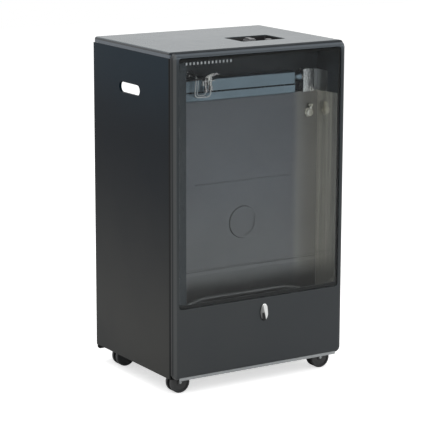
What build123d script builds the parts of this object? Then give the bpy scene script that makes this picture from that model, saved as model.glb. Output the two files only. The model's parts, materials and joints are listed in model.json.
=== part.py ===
from build123d import *
import os

# Portable gas cabinet heater on castors, millimetres.
# Origin on the floor under the cabinet's centre, +Z up, the window faces -Y.

# --- driving dimensions of the cabinet -------------------------------------------------
cabinet_width = 430.0
cabinet_depth = 340.0
total_height = 730.0
floor_gap = 38.0            # under the sheet metal
sheet = 1.0                 # painted panels
thin_sheet = 0.8            # reflector, shield and burner
fit_gap = 0.3               # between pieces that pass each other

front_depth = 13.0          # how far the pressed front stands before the side panels
front_corner = 14.0         # outline corners of the front
front_roll = 9.5            # rolled front edge
front_sheet = 1.2
groove = 1.0                # dark line between front and sides

lid_lip = 12.0
lid_roll = 5.0
lid_corner = 8.0
lid_sheet = 1.2
lid_seam = 0.4

window_side_border = 13.0
window_top_border = 11.0
window_bottom = 191.0
window_corner = 7.0
glass_thickness = 4.0
glass_recess = 0.8
glass_gap = 1.2             # open line round the glass
seal_thickness = 1.2
seat_side_lip = 4.0
seat_end_lip = 8.0

pan_floor = 60.0            # underside of the floor pan
pan_lip_bottom = 35.5
pan_lip_inset = 15.0        # side face to the lip's end
pan_lip_setback = 2.8       # behind the front face

hand_slot_length = 88.0
hand_slot_height = 22.5
hand_slot_y = 13.0
hand_slot_drop = 94.5       # lid face down to the slot's middle
hand_slot_flange = 6.0

# --- heating chamber -------------------------------------------------------------------
chamber_depth = 72.0        # front face to reflector back
reflector_inset = 25.0      # side face to the reflector's rear corner
reflector_splay = 9.0       # each wall opens by this towards the glass
chamber_floor_z = 160.2
shelf_drop = 114.3          # lid face down to the ledge over the reflector
shelf_depth = 12.0
boss_radius = 35.5
boss_height = 344.5
crease_height = 436.0
crease_half = 120.0
fold_height = 248.6
crease_radius = 1.6
housing_inset = 16.0        # side face to the dark housing
housing_drop = 14.0         # lid face down to its roof
shield_space = 14.0         # reflector back to the heat shield
vent_length = 80.0          # slots at the foot of the shield
vent_pitch = 100.0

rail_height = 188.0
rail_level_half = 105.0
rail_half = 144.0
rail_drop = 9.0
rail_radius = 4.5

burner_inset = 4.0          # reflector corner to the burner's left end
burner_depth = 14.0         # burner face before the reflector back
burner_drop = 66.0
burner_slot_drop = 94.0
burner_slot_width = 3.0
burner_bend = 5.0
port_strip_height = 34.0
port_pitch = 10.0
port_height = 20.0
port_width = 2.0

injector_drop = 80.0
bracket_inset = 68.0        # side face to the bracket's left edge
bracket_width = 29.0
bracket_drop = 64.0
bracket_depth = 10.0        # bracket face before the reflector back
bracket_space = 26.0        # burner's right end to the bracket
fitting_offset = 19.0       # bracket's left edge to the fitting
fitting_drop = 160.0
gas_pipe_radius = 4.0
riser_radius = 3.0
riser_space = 7.0           # riser behind the reflector's polished face

pilot_x = -97.0
pilot_depth = 23.0          # pilot before the reflector back
pilot_drop = 90.0           # lid face down to the pilot's nut
pilot_plate_drop = 69.0
thermocouple_pitch = 12.0   # to the left of the pilot
electrode_step = 5.5        # electrode before the pilot
pilot_pipe_radius = 1.6
thermocouple_lead_radius = 1.1
ignition_lead_radius = 1.5

# --- controls --------------------------------------------------------------------------
well_width = 110.0
well_length = 80.0
well_x = 67.0
well_setback = 133.0        # front face to the well's middle
well_depth = 24.0
well_wall = 1.5
well_rim = 6.0
knob_left = 6.0             # knob and button from the well's middle
knob_back = 11.0
knob_radius = 18.0
stem_radius = 4.0
stem_travel = 4.0
press_gap = 1.5             # under the knob and the button at full travel
button_right = 31.0
button_front = 7.0
button_radius = 7.5
button_travel = 5.0
button_height = 15.0        # from its shoulder to its top
hollow_depth = 3.5          # finger hollows beside the knob's grip bar
running_gap = 0.05

valve_length = 46.0
valve_width = 40.0
valve_height = 48.0
nozzle_radius = 4.0
nozzle_length = 22.0

# --- rear ------------------------------------------------------------------------------
cover_drop = 159.0          # lid face down to the cover's top
cover_bottom = 26.0
cover_side_gap = 0.8
cover_corner = 8.0
pivot_inset = 8.5           # pivot before the rear face
pivot_height = 46.0
pivot_radius = 2.5
frame_flange = 13.0
frame_setback = 14.0        # rear frame's rear face before the rear face
top_rail_height = 38.0
catch_drop = 40.0           # cover's top down to its catches
catch_height = 16.0
post_screw_rise = 113.7     # floor pan to the posts' lower screws
post_screw_space = 13.7     # catches down to the posts' upper screws
rail_slot_length = 70.0
rail_slot_pitch = 90.0
louvre_rows = 5
louvre_length = 120.0
louvre_space = 14.0
louvre_pitch = 16.0
louvre_proud = 3.0          # same as the badge, so the depth stays even about the middle

# --- castors ---------------------------------------------------------------------------
castor_inset = 50.0         # side face to the swivel
castor_front_inset = 43.0
castor_rear_inset = 62.0
castor_trail = 16.0
wheel_radius = 23.0
wheel_width = 7.5
web_width = 9.0
wheel_gap = 0.5
axle_radius = 3.0
hood_gap = 1.5
hood_wall = 2.0
hood_edge = 44.0            # height of the hood's lower edge, clear of the pan's lip when it swivels
swivel_radius = 3.0
neck_radius = 12.0
plate_size = 36.0
plate_thickness = 2.5

badge_x = 9.4
badge_z = 158.5
badge_width = 20.0
badge_height = 38.0
badge_proud = 3.0

# --- worked out ------------------------------------------------------------------------
half_width = cabinet_width / 2
half_depth = cabinet_depth / 2
front_y = -half_depth
front_back_y = front_y + front_depth
side_front_y = front_back_y + groove
inner_half = half_width - sheet
lid_bottom = total_height - lid_lip
side_top = lid_bottom - lid_seam
lid_under = total_height - lid_sheet
body_height = total_height - floor_gap
pan_top = pan_floor + sheet
pan_lip_half = half_width - pan_lip_inset
hand_slot_z = total_height - hand_slot_drop
reflector_y = front_y + chamber_depth
reflector_back_y = reflector_y + thin_sheet
reflector_half = half_width - reflector_inset
shelf_z = total_height - shelf_drop
housing_half = half_width - housing_inset
housing_roof = total_height - housing_drop
shield_y = reflector_y + shield_space
window_half = half_width - window_side_border
window_top = total_height - window_top_border
window_height = window_top - window_bottom
window_mid = (window_top + window_bottom) / 2
glass_front_y = front_y + glass_recess
glass_back_y = glass_front_y + glass_thickness
seat_y = glass_back_y + seal_thickness
seat_back_y = seat_y + front_sheet
wall_front_y = seat_back_y + fit_gap
chamber_floor_top = chamber_floor_z + thin_sheet
shelf_top = shelf_z + thin_sheet
bracket_left = half_width - bracket_inset
bracket_top = total_height - bracket_drop
bracket_front = reflector_y - bracket_depth
burner_left = -(reflector_half - burner_inset)
burner_right = bracket_left - bracket_space
burner_front = reflector_y - burner_depth
burner_top = total_height - burner_drop
burner_slot_height = total_height - burner_slot_drop
injector_y = reflector_y - 1.0
injector_z = total_height - injector_drop
fitting_x = bracket_left + fitting_offset
fitting_z = total_height - fitting_drop
riser_y = reflector_y + riser_space
pilot_y = reflector_y - pilot_depth
pilot_base = total_height - pilot_drop
pilot_plate_z = total_height - pilot_plate_drop
thermocouple_x = pilot_x - thermocouple_pitch
thermocouple_base = pilot_base - 3.0
electrode_y = pilot_y - electrode_step
well_y = front_y + well_setback
knob_x = well_x - knob_left
knob_y = well_y + knob_back
button_x = well_x + button_right
button_y = well_y - button_front
well_floor_top = total_height - well_depth
well_floor_under = well_floor_top - well_wall
valve_top = well_floor_under - lid_sheet
cover_half = inner_half - cover_side_gap
cover_top = total_height - cover_drop
pivot_y = half_depth - pivot_inset
frame_y = half_depth - frame_setback
hood_inner = wheel_radius + hood_gap
hood_outer = hood_inner + hood_wall
castor_half = web_width / 2 + wheel_gap + wheel_width

# pipes and leads pass the shield and the housing here: x, z, radius
pilot_hole = (pilot_x - 34.0, total_height - 56.0)
thermocouple_hole = (pilot_x - 29.0, total_height - 62.0)
ignition_hole = (burner_left - 6.5, total_height - 79.5)
wall_holes = (
    (pilot_hole, pilot_pipe_radius + 1.0),
    (thermocouple_hole, thermocouple_lead_radius + 1.0),
    (ignition_hole, ignition_lead_radius + 1.0),
)


def front_plane(y):
    """Plane across the heater at depth y: local x is X, local y is Z, outwards is -Y."""
    return Plane.XZ.offset(-y)


def side_plane(x):
    """Plane along the heater at x: local x is Y, local y is Z, outwards is +X."""
    return Plane.YZ.offset(x)


def block(x, y, z, mode=Mode.ADD):
    """A rectangular block between pairs of limits, added to the part in hand."""
    centre = ((x[0] + x[1]) / 2, (y[0] + y[1]) / 2, (z[0] + z[1]) / 2)
    with Locations(centre):
        Box(x[1] - x[0], y[1] - y[0], z[1] - z[0], mode=mode)


def drill(places, y):
    """Round holes along Y about depth y, each place given as ((x, z), radius)."""
    for (x, z), radius in places:
        with Locations(Location((x, y, z), (90, 0, 0))):
            Cylinder(radius, 4, mode=Mode.SUBTRACT)


def save(built, name):
    """Label a finished piece and write it."""
    built.part.label = name
    export_step(built.part, f"parts/{name}.step")


def save_mirrored(built, name):
    """Write the piece's mirror image across the heater's middle plane."""
    with BuildPart() as other:
        add(built.part)
        mirror(about=Plane.YZ, mode=Mode.REPLACE)
    save(other, name)


def bent_tube(points, radii, radius, name):
    """A tube of round section along straight runs joined by arcs."""
    with BuildPart() as tube:
        with BuildLine() as route:
            FilletPolyline(*points, radius=radii)
        with BuildSketch(Plane(route.line @ 0, z_dir=route.line % 0)):
            Circle(radius)
        sweep()
    save(tube, name)


os.makedirs("parts", exist_ok=True)

# --- front panel: one pressed tray with the window's seat -------------------------------
with BuildPart() as front_void:
    with BuildSketch(front_plane(front_back_y + sheet)):
        with Locations((0, floor_gap + body_height / 2)):
            RectangleRounded(cabinet_width - 2 * front_sheet, body_height - 2 * front_sheet,
                             front_corner - front_sheet)
    extrude(amount=front_depth - front_sheet + sheet)
    fillet(front_void.faces().sort_by(Axis.Y)[0].edges(), front_roll - front_sheet)

with BuildPart() as front_panel:
    with BuildSketch(front_plane(front_back_y)):
        with Locations((0, floor_gap + body_height / 2)):
            RectangleRounded(cabinet_width, body_height, front_corner)
    extrude(amount=front_depth)
    fillet(front_panel.faces().sort_by(Axis.Y)[0].edges(), front_roll)
    add(front_void.part, mode=Mode.SUBTRACT)
    with BuildSketch(front_plane(seat_back_y)):
        with Locations((0, window_mid)):
            RectangleRounded(2 * (window_half + front_sheet), window_height + 2 * front_sheet,
                             window_corner + front_sheet)
    extrude(amount=seat_back_y - front_y)
    with BuildSketch(front_plane(seat_y)):
        with Locations((0, window_mid)):
            RectangleRounded(2 * window_half, window_height, window_corner)
    extrude(amount=seat_y - front_y + sheet, mode=Mode.SUBTRACT)
    with BuildSketch(front_plane(seat_back_y + sheet)):
        with Locations((0, window_mid)):
            RectangleRounded(2 * (window_half - seat_side_lip), window_height - 2 * seat_end_lip,
                             window_corner)
    extrude(amount=glass_thickness, mode=Mode.SUBTRACT)
    # the rolled bottom edge is trimmed so that the floor pan's lip hangs behind the face
    block((-pan_lip_half - 1, pan_lip_half + 1),
          (front_y + pan_lip_setback - fit_gap - 0.8, front_back_y + 1),
          (floor_gap - 1, floor_gap + front_roll), Mode.SUBTRACT)
save(front_panel, "front_panel")

# --- glass and its seal ----------------------------------------------------------------
glass_half = window_half - glass_gap
glass_height = window_height - 2 * glass_gap
with BuildPart() as glass_pane:
    with BuildSketch(front_plane(glass_back_y)):
        with Locations((0, window_mid)):
            RectangleRounded(2 * glass_half, glass_height, window_corner - glass_gap)
    extrude(amount=glass_thickness)
    chamfer(glass_pane.faces().sort_by(Axis.Y)[0].edges(), glass_recess / 2)
save(glass_pane, "glass_pane")

with BuildPart() as glass_seal:
    with BuildSketch(front_plane(seat_y)):
        with Locations((0, window_mid)):
            RectangleRounded(2 * glass_half - 0.4, glass_height - 0.4, window_corner - glass_gap)
            RectangleRounded(2 * (window_half - seat_side_lip) + 0.8,
                             window_height - 2 * seat_end_lip + 0.8,
                             window_corner - glass_gap, mode=Mode.SUBTRACT)
    extrude(amount=seal_thickness)
save(glass_seal, "glass_seal")

# --- badge place: a plain domed oval ----------------------------------------------------
with BuildPart() as badge:
    with BuildSketch(front_plane(front_y)):
        with Locations((badge_x, badge_z)):
            Ellipse(badge_width / 2, badge_height / 2)
    extrude(amount=badge_proud)
    fillet(badge.faces().sort_by(Axis.Y)[0].edges(), badge_proud * 0.6)
save(badge, "badge")

# --- side panels: web, bent front edge, hemmed rear edge, flanged hand slot --------------
slot_centre = (hand_slot_y, hand_slot_z)
with BuildPart() as left_side_panel:
    with BuildSketch(Plane.XY.offset(floor_gap)):
        with BuildLine():
            Polyline((-half_width, half_depth), (-half_width, side_front_y),
                     (-half_width + 12, side_front_y), (-half_width + 12, side_front_y + sheet),
                     (-inner_half, side_front_y + sheet),
                     (-inner_half, half_depth - 10), (-inner_half + 0.6, half_depth - 10),
                     (-inner_half + 0.6, half_depth), (-half_width, half_depth))
        make_face()
    extrude(amount=side_top - floor_gap)
    outer_bend = (-half_width, side_front_y, (floor_gap + side_top) / 2)
    fillet(left_side_panel.edges().filter_by(Axis.Z).sort_by_distance(outer_bend)[0], 0.9)
    with BuildSketch(side_plane(-half_width)):
        with Locations(slot_centre):
            SlotOverall(hand_slot_length + 2 * sheet, hand_slot_height + 2 * sheet)
    extrude(amount=hand_slot_flange)
    with BuildSketch(side_plane(-half_width - 1)):
        with Locations(slot_centre):
            SlotOverall(hand_slot_length, hand_slot_height)
    extrude(amount=hand_slot_flange + 2, mode=Mode.SUBTRACT)
save(left_side_panel, "left_side_panel")
save_mirrored(left_side_panel, "right_side_panel")

# --- lid: pressed tray with rolled edges and the control recess --------------------------
with BuildPart() as lid_void:
    block((-half_width + lid_sheet, half_width - lid_sheet),
          (side_front_y + lid_sheet, half_depth - lid_sheet), (lid_bottom - 1, lid_under))
    fillet(lid_void.edges().filter_by(Axis.Z).group_by(Axis.Y)[-1], lid_corner - lid_sheet)
    fillet(lid_void.faces().sort_by(Axis.Z)[-1].edges(), lid_roll - lid_sheet)

with BuildPart() as lid:
    block((-half_width, half_width), (side_front_y, half_depth), (lid_bottom, total_height))
    fillet(lid.edges().filter_by(Axis.Z).group_by(Axis.Y)[-1], lid_corner)
    fillet(lid.faces().sort_by(Axis.Z)[-1].edges(), lid_roll)
    add(lid_void.part, mode=Mode.SUBTRACT)
    with BuildSketch(Plane.XY.offset(lid_under - 1)):
        with Locations((well_x, well_y)):
            RectangleRounded(well_width, well_length, 7)
    extrude(amount=lid_sheet + 2, mode=Mode.SUBTRACT)
save(lid, "lid")

# --- floor pan ---------------------------------------------------------------------------
pan_front_y = front_y + pan_lip_setback
pan_rear_y = frame_y
ear_x = cover_half - sheet - 5.0
with BuildPart() as base_pan:
    with BuildSketch(Plane.XY.offset(pan_floor)):
        with BuildLine():
            Polyline((-pan_lip_half, pan_front_y), (pan_lip_half, pan_front_y),
                     (pan_lip_half, front_back_y + 3), (inner_half, front_back_y + 3),
                     (inner_half, pan_rear_y), (-inner_half, pan_rear_y),
                     (-inner_half, front_back_y + 3), (-pan_lip_half, front_back_y + 3),
                     (-pan_lip_half, pan_front_y))
        make_face()
    extrude(amount=sheet)
    block((-pan_lip_half, pan_lip_half), (pan_front_y, pan_front_y + sheet), (pan_lip_bottom, pan_floor))
    block((-ear_x + 4, ear_x - 4), (pan_rear_y - sheet, pan_rear_y), (pivot_height, pan_floor))
    for side in (-1, 1):
        edge = sorted((side * (inner_half - sheet), side * inner_half))
        block(edge, (front_back_y + 10, pan_rear_y - 16), (pan_floor - 18, pan_floor))
        with BuildSketch(side_plane(side * ear_x - sheet)):
            with Locations((pivot_y, pivot_height)):
                Circle(pivot_inset - sheet - 0.6)
            with Locations((pivot_y - 6, (pivot_height + pan_floor) / 2)):
                Rectangle(14, pan_floor - pivot_height)
            with Locations((pivot_y, pivot_height)):
                Circle(pivot_radius, mode=Mode.SUBTRACT)
        extrude(amount=2 * sheet)
save(base_pan, "base_pan")

with BuildPart() as cover_pins:
    for side in (-1, 1):
        with BuildSketch(side_plane(side * (ear_x - 2))):
            with Locations((pivot_y, pivot_height)):
                Circle(pivot_radius)
        extrude(amount=side * (cover_half - ear_x + 2))
        with BuildSketch(side_plane(side * (ear_x - 2))):
            with Locations((pivot_y, pivot_height)):
                Circle(pivot_radius + 1.5)
        extrude(amount=side)
save(cover_pins, "cover_pins")

# --- heat shield between chamber and bottle space ----------------------------------------
with BuildPart() as heat_shield:
    shield_half = inner_half - sheet
    vent_columns = int((2 * shield_half - 20) / vent_pitch)
    with BuildSketch(front_plane(shield_y + thin_sheet)):
        with BuildLine():
            Polyline((-shield_half, pan_top), (shield_half, pan_top), (shield_half, side_top),
                     (shield_half - 5, lid_under), (-shield_half + 5, lid_under), (-shield_half, side_top),
                     (-shield_half, pan_top))
        make_face()
        with Locations((fitting_x, fitting_z)):
            Circle(gas_pipe_radius + 0.6, mode=Mode.SUBTRACT)
        with Locations((0, pan_top + 45)):
            with GridLocations(vent_pitch, 16, vent_columns, 3):
                Rectangle(vent_length, 6, mode=Mode.SUBTRACT)
    extrude(amount=thin_sheet)
    drill(wall_holes, shield_y)
    for side in (-1, 1):
        edge = sorted((side * (inner_half - sheet - thin_sheet), side * (inner_half - sheet)))
        block(edge, (shield_y + thin_sheet, shield_y + 13), (pan_top, side_top))
save(heat_shield, "heat_shield")

# --- rear frame: two posts and a top rail -------------------------------------------------
with BuildPart() as rear_frame:
    post_inner = inner_half - frame_flange
    slot_columns = int((2 * post_inner - 20) / rail_slot_pitch)
    with BuildSketch(front_plane(frame_y)):
        with BuildLine():
            Polyline((-inner_half, pan_top), (-post_inner, pan_top),
                     (-post_inner, lid_under - top_rail_height), (post_inner, lid_under - top_rail_height),
                     (post_inner, pan_top), (inner_half, pan_top), (inner_half, side_top),
                     (inner_half - 3, side_top), (inner_half - 3, lid_under - 5),
                     (inner_half - 8, lid_under),
                     (-inner_half + 8, lid_under), (-inner_half + 3, lid_under - 5),
                     (-inner_half + 3, side_top), (-inner_half, side_top), (-inner_half, pan_top))
        make_face()
        with Locations((0, lid_under - top_rail_height / 2)):
            with GridLocations(rail_slot_pitch, 10, slot_columns, 2):
                Rectangle(rail_slot_length, 4, mode=Mode.SUBTRACT)
    extrude(amount=sheet)
    inner_corners = [(side * post_inner, frame_y, lid_under - top_rail_height) for side in (-1, 1)]
    across = rear_frame.edges().filter_by(Axis.Y)
    fillet([across.sort_by_distance(corner)[0] for corner in inner_corners], 8)
    for side in (-1, 1):
        edge = sorted((side * (inner_half - sheet), side * inner_half))
        block(edge, (frame_y - 30, frame_y - sheet), (pan_top, side_top))
save(rear_frame, "rear_frame")

catch_bottom = cover_top - catch_drop
post_screw_low = pan_top + post_screw_rise
post_screw_high = catch_bottom - post_screw_space
with BuildPart() as rear_frame_screws:
    with BuildSketch(front_plane(frame_y + 2.2)):
        with Locations((0, lid_under - top_rail_height / 2)):
            with GridLocations(2 * (post_inner - 5), 1, 2, 1):
                Circle(3.6)
        with Locations((0, (post_screw_low + post_screw_high) / 2)):
            with GridLocations(2 * (post_inner + 6), post_screw_high - post_screw_low, 2, 2):
                Circle(3.6)
    extrude(amount=2.2)
    chamfer(rear_frame_screws.faces().filter_by(Axis.Y).group_by(Axis.Y)[-1].edges(), 1.2)
save(rear_frame_screws, "rear_frame_screws")

with BuildPart() as cover_catches:
    for side in (-1, 1):
        with BuildSketch(Plane.XY.offset(catch_bottom)):
            with Locations((side * (post_inner + 8), frame_y + 2.4)):
                Ellipse(2.4, 5.0)
            with Locations((side * (post_inner + 8), frame_y - 5)):
                Rectangle(8, 10, mode=Mode.SUBTRACT)
        extrude(amount=catch_height)
save(cover_catches, "cover_catches")

# --- rear cover: louvred tray that tilts back on two pins ---------------------------------
cover_height = cover_top - cover_bottom
louvre_step = louvre_length + louvre_space
louvre_columns = int((2 * cover_half - 20) / louvre_step)
with BuildPart() as rear_cover:
    with BuildSketch(front_plane(half_depth)):
        with Locations((0, (cover_top + cover_bottom) / 2)):
            RectangleRounded(2 * cover_half, cover_height, cover_corner)
        for bank in (0.30, 0.78):
            with Locations((0, cover_bottom + cover_height * bank)):
                with GridLocations(louvre_step, louvre_pitch, louvre_columns, louvre_rows):
                    Rectangle(louvre_length, 4.0, mode=Mode.SUBTRACT)
    extrude(amount=sheet)
    for bank in (0.30, 0.78):
        middle = cover_bottom + cover_height * bank
        for row in range(louvre_rows):
            height = middle + (row - (louvre_rows - 1) / 2) * louvre_pitch
            for column in range(louvre_columns):
                start = (column - (louvre_columns - 1) / 2) * louvre_step - louvre_length / 2
                with BuildSketch(side_plane(start)):
                    with BuildLine():
                        Polyline((half_depth - sheet, height + 1.9), (half_depth, height + 4.2),
                                 (half_depth + louvre_proud, height - 1.4),
                                 (half_depth + louvre_proud - sheet, height - 2.0),
                                 (half_depth - sheet, height + 1.9))
                    make_face()
                extrude(amount=louvre_length)
    for side in (-1, 1):
        with BuildSketch(side_plane(side * cover_half)):
            with BuildLine():
                inner_y = frame_y + fit_gap
                Polyline((half_depth - sheet, floor_gap), (half_depth - sheet, cover_top - cover_corner),
                         (inner_y, cover_top - cover_corner), (inner_y, floor_gap + 4),
                         (inner_y + 4, floor_gap), (half_depth - sheet, floor_gap))
            make_face()
            with Locations((pivot_y, pivot_height)):
                Circle(pivot_radius + running_gap, mode=Mode.SUBTRACT)
        extrude(amount=-side * sheet)
    block((-cover_half + cover_corner, cover_half - cover_corner), (inner_y, half_depth - sheet),
          (cover_top - sheet, cover_top))
save(rear_cover, "rear_cover")

# --- reflector: polished back with boss, crease and fold ----------------------------------
with BuildPart() as reflector_back:
    with BuildSketch(front_plane(reflector_back_y)):
        with Locations((0, (chamber_floor_top + shelf_top) / 2)):
            Rectangle(2 * reflector_half, shelf_top - chamber_floor_top)
        with Locations((fitting_x, fitting_z)):
            Circle(gas_pipe_radius + fit_gap, mode=Mode.SUBTRACT)
    extrude(amount=thin_sheet)
    with BuildSketch(front_plane(reflector_y)):
        with Locations((0, boss_height)):
            Circle(boss_radius)
    extrude(amount=2.2, taper=30)
    with BuildSketch(front_plane(reflector_y - 2.2)):
        with Locations((0, boss_height)):
            Circle(boss_radius - 6.5)
    extrude(amount=-1.6, taper=-30, mode=Mode.SUBTRACT)
    for height, half in ((crease_height, crease_half), (fold_height, reflector_half)):
        with BuildSketch(side_plane(-half)):
            with Locations((reflector_y + crease_radius * 0.4, height)):
                Circle(crease_radius)
            with Locations((reflector_y + crease_radius + 0.2, height)):
                Rectangle(2 * crease_radius, 4 * crease_radius, mode=Mode.SUBTRACT)
        extrude(amount=2 * half)
    with BuildSketch(side_plane(-reflector_half)):
        with BuildLine():
            Polyline((reflector_y, fold_height - 0.5), (reflector_y - 2.5, fold_height - 9),
                     (reflector_y - 2.5, chamber_floor_top), (reflector_y, chamber_floor_top),
                     (reflector_y, fold_height - 0.5))
        make_face()
    extrude(amount=2 * reflector_half)
    block((-reflector_half, reflector_half), (reflector_back_y, reflector_y + shelf_depth),
          (shelf_z, shelf_top))
    with Locations((fitting_x, riser_y, shelf_z)):
        Cylinder(riser_radius + 2 * fit_gap, 4, mode=Mode.SUBTRACT)
save(reflector_back, "reflector_back")

# --- reflector walls: splayed sheets with a ledge at the top ------------------------------
wall_front_x = reflector_half + reflector_splay
with BuildPart() as reflector_right_wall:
    with BuildSketch(Plane.XY.offset(chamber_floor_top)):
        with BuildLine():
            Polyline((reflector_half, reflector_y), (wall_front_x, wall_front_y),
                     (wall_front_x + thin_sheet, wall_front_y), (reflector_half + thin_sheet, reflector_y),
                     (reflector_half, reflector_y))
        make_face()
    extrude(amount=shelf_top - chamber_floor_top)
    with BuildSketch(Plane.XY.offset(shelf_z)):
        with BuildLine():
            Polyline((reflector_half, reflector_y), (wall_front_x, wall_front_y),
                     (housing_half + 1, wall_front_y), (housing_half + 1, reflector_y + shelf_depth),
                     (reflector_half, reflector_y + shelf_depth), (reflector_half, reflector_y))
        make_face()
    extrude(amount=thin_sheet)
save(reflector_right_wall, "reflector_right_wall")
save_mirrored(reflector_right_wall, "reflector_left_wall")

with BuildPart() as chamber_floor:
    block((-housing_half, housing_half), (wall_front_y, shield_y), (chamber_floor_z, chamber_floor_top))
    block((-housing_half, housing_half), (seat_back_y, wall_front_y), (chamber_floor_z, window_bottom + 6))
save(chamber_floor, "chamber_floor")

with BuildPart() as upper_housing:
    block((-housing_half, housing_half), (wall_front_y, shield_y), (shelf_top, housing_roof))
    fillet(upper_housing.edges().filter_by(Axis.Y).group_by(Axis.Z)[-1], 6)
    offset(amount=-thin_sheet, openings=[upper_housing.faces().sort_by(Axis.Y)[0],
                                         upper_housing.faces().sort_by(Axis.Z)[0]])
    drill(wall_holes, shield_y)
save(upper_housing, "upper_housing")

with BuildPart() as lead_cover_strip:
    strip_right = -(wall_front_x - 18.0)
    with BuildSketch(Plane.XY.offset(window_bottom + 8)):
        with BuildLine():
            Polyline((-wall_front_x + 2, wall_front_y), (strip_right, wall_front_y),
                     (strip_right, wall_front_y + 9), (strip_right - thin_sheet, wall_front_y + 9),
                     (strip_right - thin_sheet, wall_front_y + thin_sheet),
                     (-wall_front_x + 2, wall_front_y + thin_sheet), (-wall_front_x + 2, wall_front_y))
        make_face()
    extrude(amount=housing_roof - 8 - window_bottom - 8)
save(lead_cover_strip, "lead_cover_strip")

# --- rail across the foot of the chamber --------------------------------------------------
rail_y = reflector_y - 2.5 - rail_radius
rail_screw_places = [(side * (rail_half - 6), rail_height - rail_drop + 1) for side in (-1, 1)]
with BuildPart() as lower_rail:
    with BuildLine() as rail_line:
        FilletPolyline((-rail_half, rail_y, rail_height - rail_drop),
                       (-rail_level_half, rail_y, rail_height), (rail_level_half, rail_y, rail_height),
                       (rail_half, rail_y, rail_height - rail_drop), radius=60)
    with BuildSketch(Plane(rail_line.line @ 0, z_dir=rail_line.line % 0)):
        Circle(rail_radius)
    sweep()
    # spot faces and holes for the screws
    with BuildSketch(front_plane(rail_y - rail_radius + 0.6)):
        with Locations(*rail_screw_places):
            Circle(3.4)
    extrude(amount=rail_radius, mode=Mode.SUBTRACT)
    with BuildSketch(front_plane(rail_y + rail_radius)):
        with Locations(*rail_screw_places):
            Circle(1.6)
    extrude(amount=2 * rail_radius, mode=Mode.SUBTRACT)
save(lower_rail, "lower_rail")

with BuildPart() as lower_rail_screws:
    with BuildSketch(front_plane(rail_y + rail_radius)):
        with Locations(*rail_screw_places):
            Circle(1.6)
    extrude(amount=2 * rail_radius - 0.6)
    with BuildSketch(front_plane(rail_y - rail_radius + 0.6)):
        with Locations(*rail_screw_places):
            Circle(3.4)
    extrude(amount=2.0)
    chamfer(lower_rail_screws.faces().filter_by(Axis.Y).group_by(Axis.Y)[0].edges(), 1.1)
save(lower_rail_screws, "lower_rail_screws")

# --- burner: upper box, lower lip, port strip behind the slot -----------------------------
slot_low = burner_slot_height - burner_slot_width / 2
slot_high = burner_slot_height + burner_slot_width / 2
burner_back = reflector_y + 8.0
port_y = reflector_y - 2.0
with BuildPart() as burner_box:
    block((burner_left, burner_right), (burner_front, burner_back), (slot_high, burner_top))
    fillet(burner_box.edges().filter_by(Axis.X).sort_by_distance((0, burner_front, burner_top))[0],
           burner_bend)
    offset(amount=-thin_sheet, openings=[burner_box.faces().sort_by(Axis.Z)[0]])
    with BuildSketch(side_plane(burner_right + 1)):
        with Locations((injector_y, injector_z)):
            Circle(8.0)
    extrude(amount=-3, mode=Mode.SUBTRACT)
save(burner_box, "burner_box")

with BuildPart() as burner_lip:
    block((burner_left, burner_right), (burner_front - 2, reflector_y - fit_gap), (shelf_top, slot_low))
    fillet(burner_lip.edges().filter_by(Axis.X).sort_by_distance((0, burner_front - 2, shelf_top))[0],
           burner_bend - 1)
    offset(amount=-thin_sheet, openings=[burner_lip.faces().sort_by(Axis.Z)[-1]])
save(burner_lip, "burner_lip")

with BuildPart() as burner_ports:
    ports = int((burner_right - burner_left - 20) / port_pitch)
    with BuildSketch(front_plane(port_y)):
        with Locations(((burner_left + burner_right) / 2, burner_slot_height)):
            Rectangle(burner_right - burner_left - 2 * thin_sheet, port_strip_height)
            with GridLocations(port_pitch, 1, ports, 1):
                Rectangle(port_width, port_height, mode=Mode.SUBTRACT)
    extrude(amount=thin_sheet)
save(burner_ports, "burner_ports")

mouth_x = bracket_left - 6
with BuildPart() as venturi_tube:
    with BuildSketch(front_plane(injector_y)):
        with BuildLine():
            Polyline((burner_right, injector_z + 7.0), (burner_right + 4, injector_z + 7.0))
            Spline((burner_right + 4, injector_z + 7.0), (mouth_x - 5, injector_z + 6.5),
                   (mouth_x, injector_z + 10.0))
            Polyline((mouth_x, injector_z + 10.0), (mouth_x, injector_z + 11.0))
            Spline((mouth_x, injector_z + 11.0), (mouth_x - 5, injector_z + 7.6),
                   (burner_right + 4, injector_z + 8.0))
            Polyline((burner_right + 4, injector_z + 8.0), (burner_right, injector_z + 8.0),
                     (burner_right, injector_z + 7.0))
        make_face()
    revolve(axis=Axis((0, injector_y, injector_z), (1, 0, 0)))
save(venturi_tube, "venturi_tube")

# --- injector bracket, injector and riser -------------------------------------------------
bracket_right = bracket_left + bracket_width
elbow_half = riser_radius + 2.0
with BuildPart() as injector_bracket:
    block((bracket_left, bracket_right), (bracket_front, burner_back), (shelf_top, bracket_top))
    fillet(injector_bracket.edges().filter_by(Axis.Z).group_by(Axis.Y)[0], 2.5)
    offset(amount=-front_sheet, openings=[injector_bracket.faces().sort_by(Axis.Z)[0],
                                          injector_bracket.faces().sort_by(Axis.Y)[-1]])
    with BuildSketch(side_plane(bracket_left - 1)):
        with Locations((injector_y, injector_z)):
            Circle(5.0)
    extrude(amount=3, mode=Mode.SUBTRACT)
save(injector_bracket, "injector_bracket")

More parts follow.
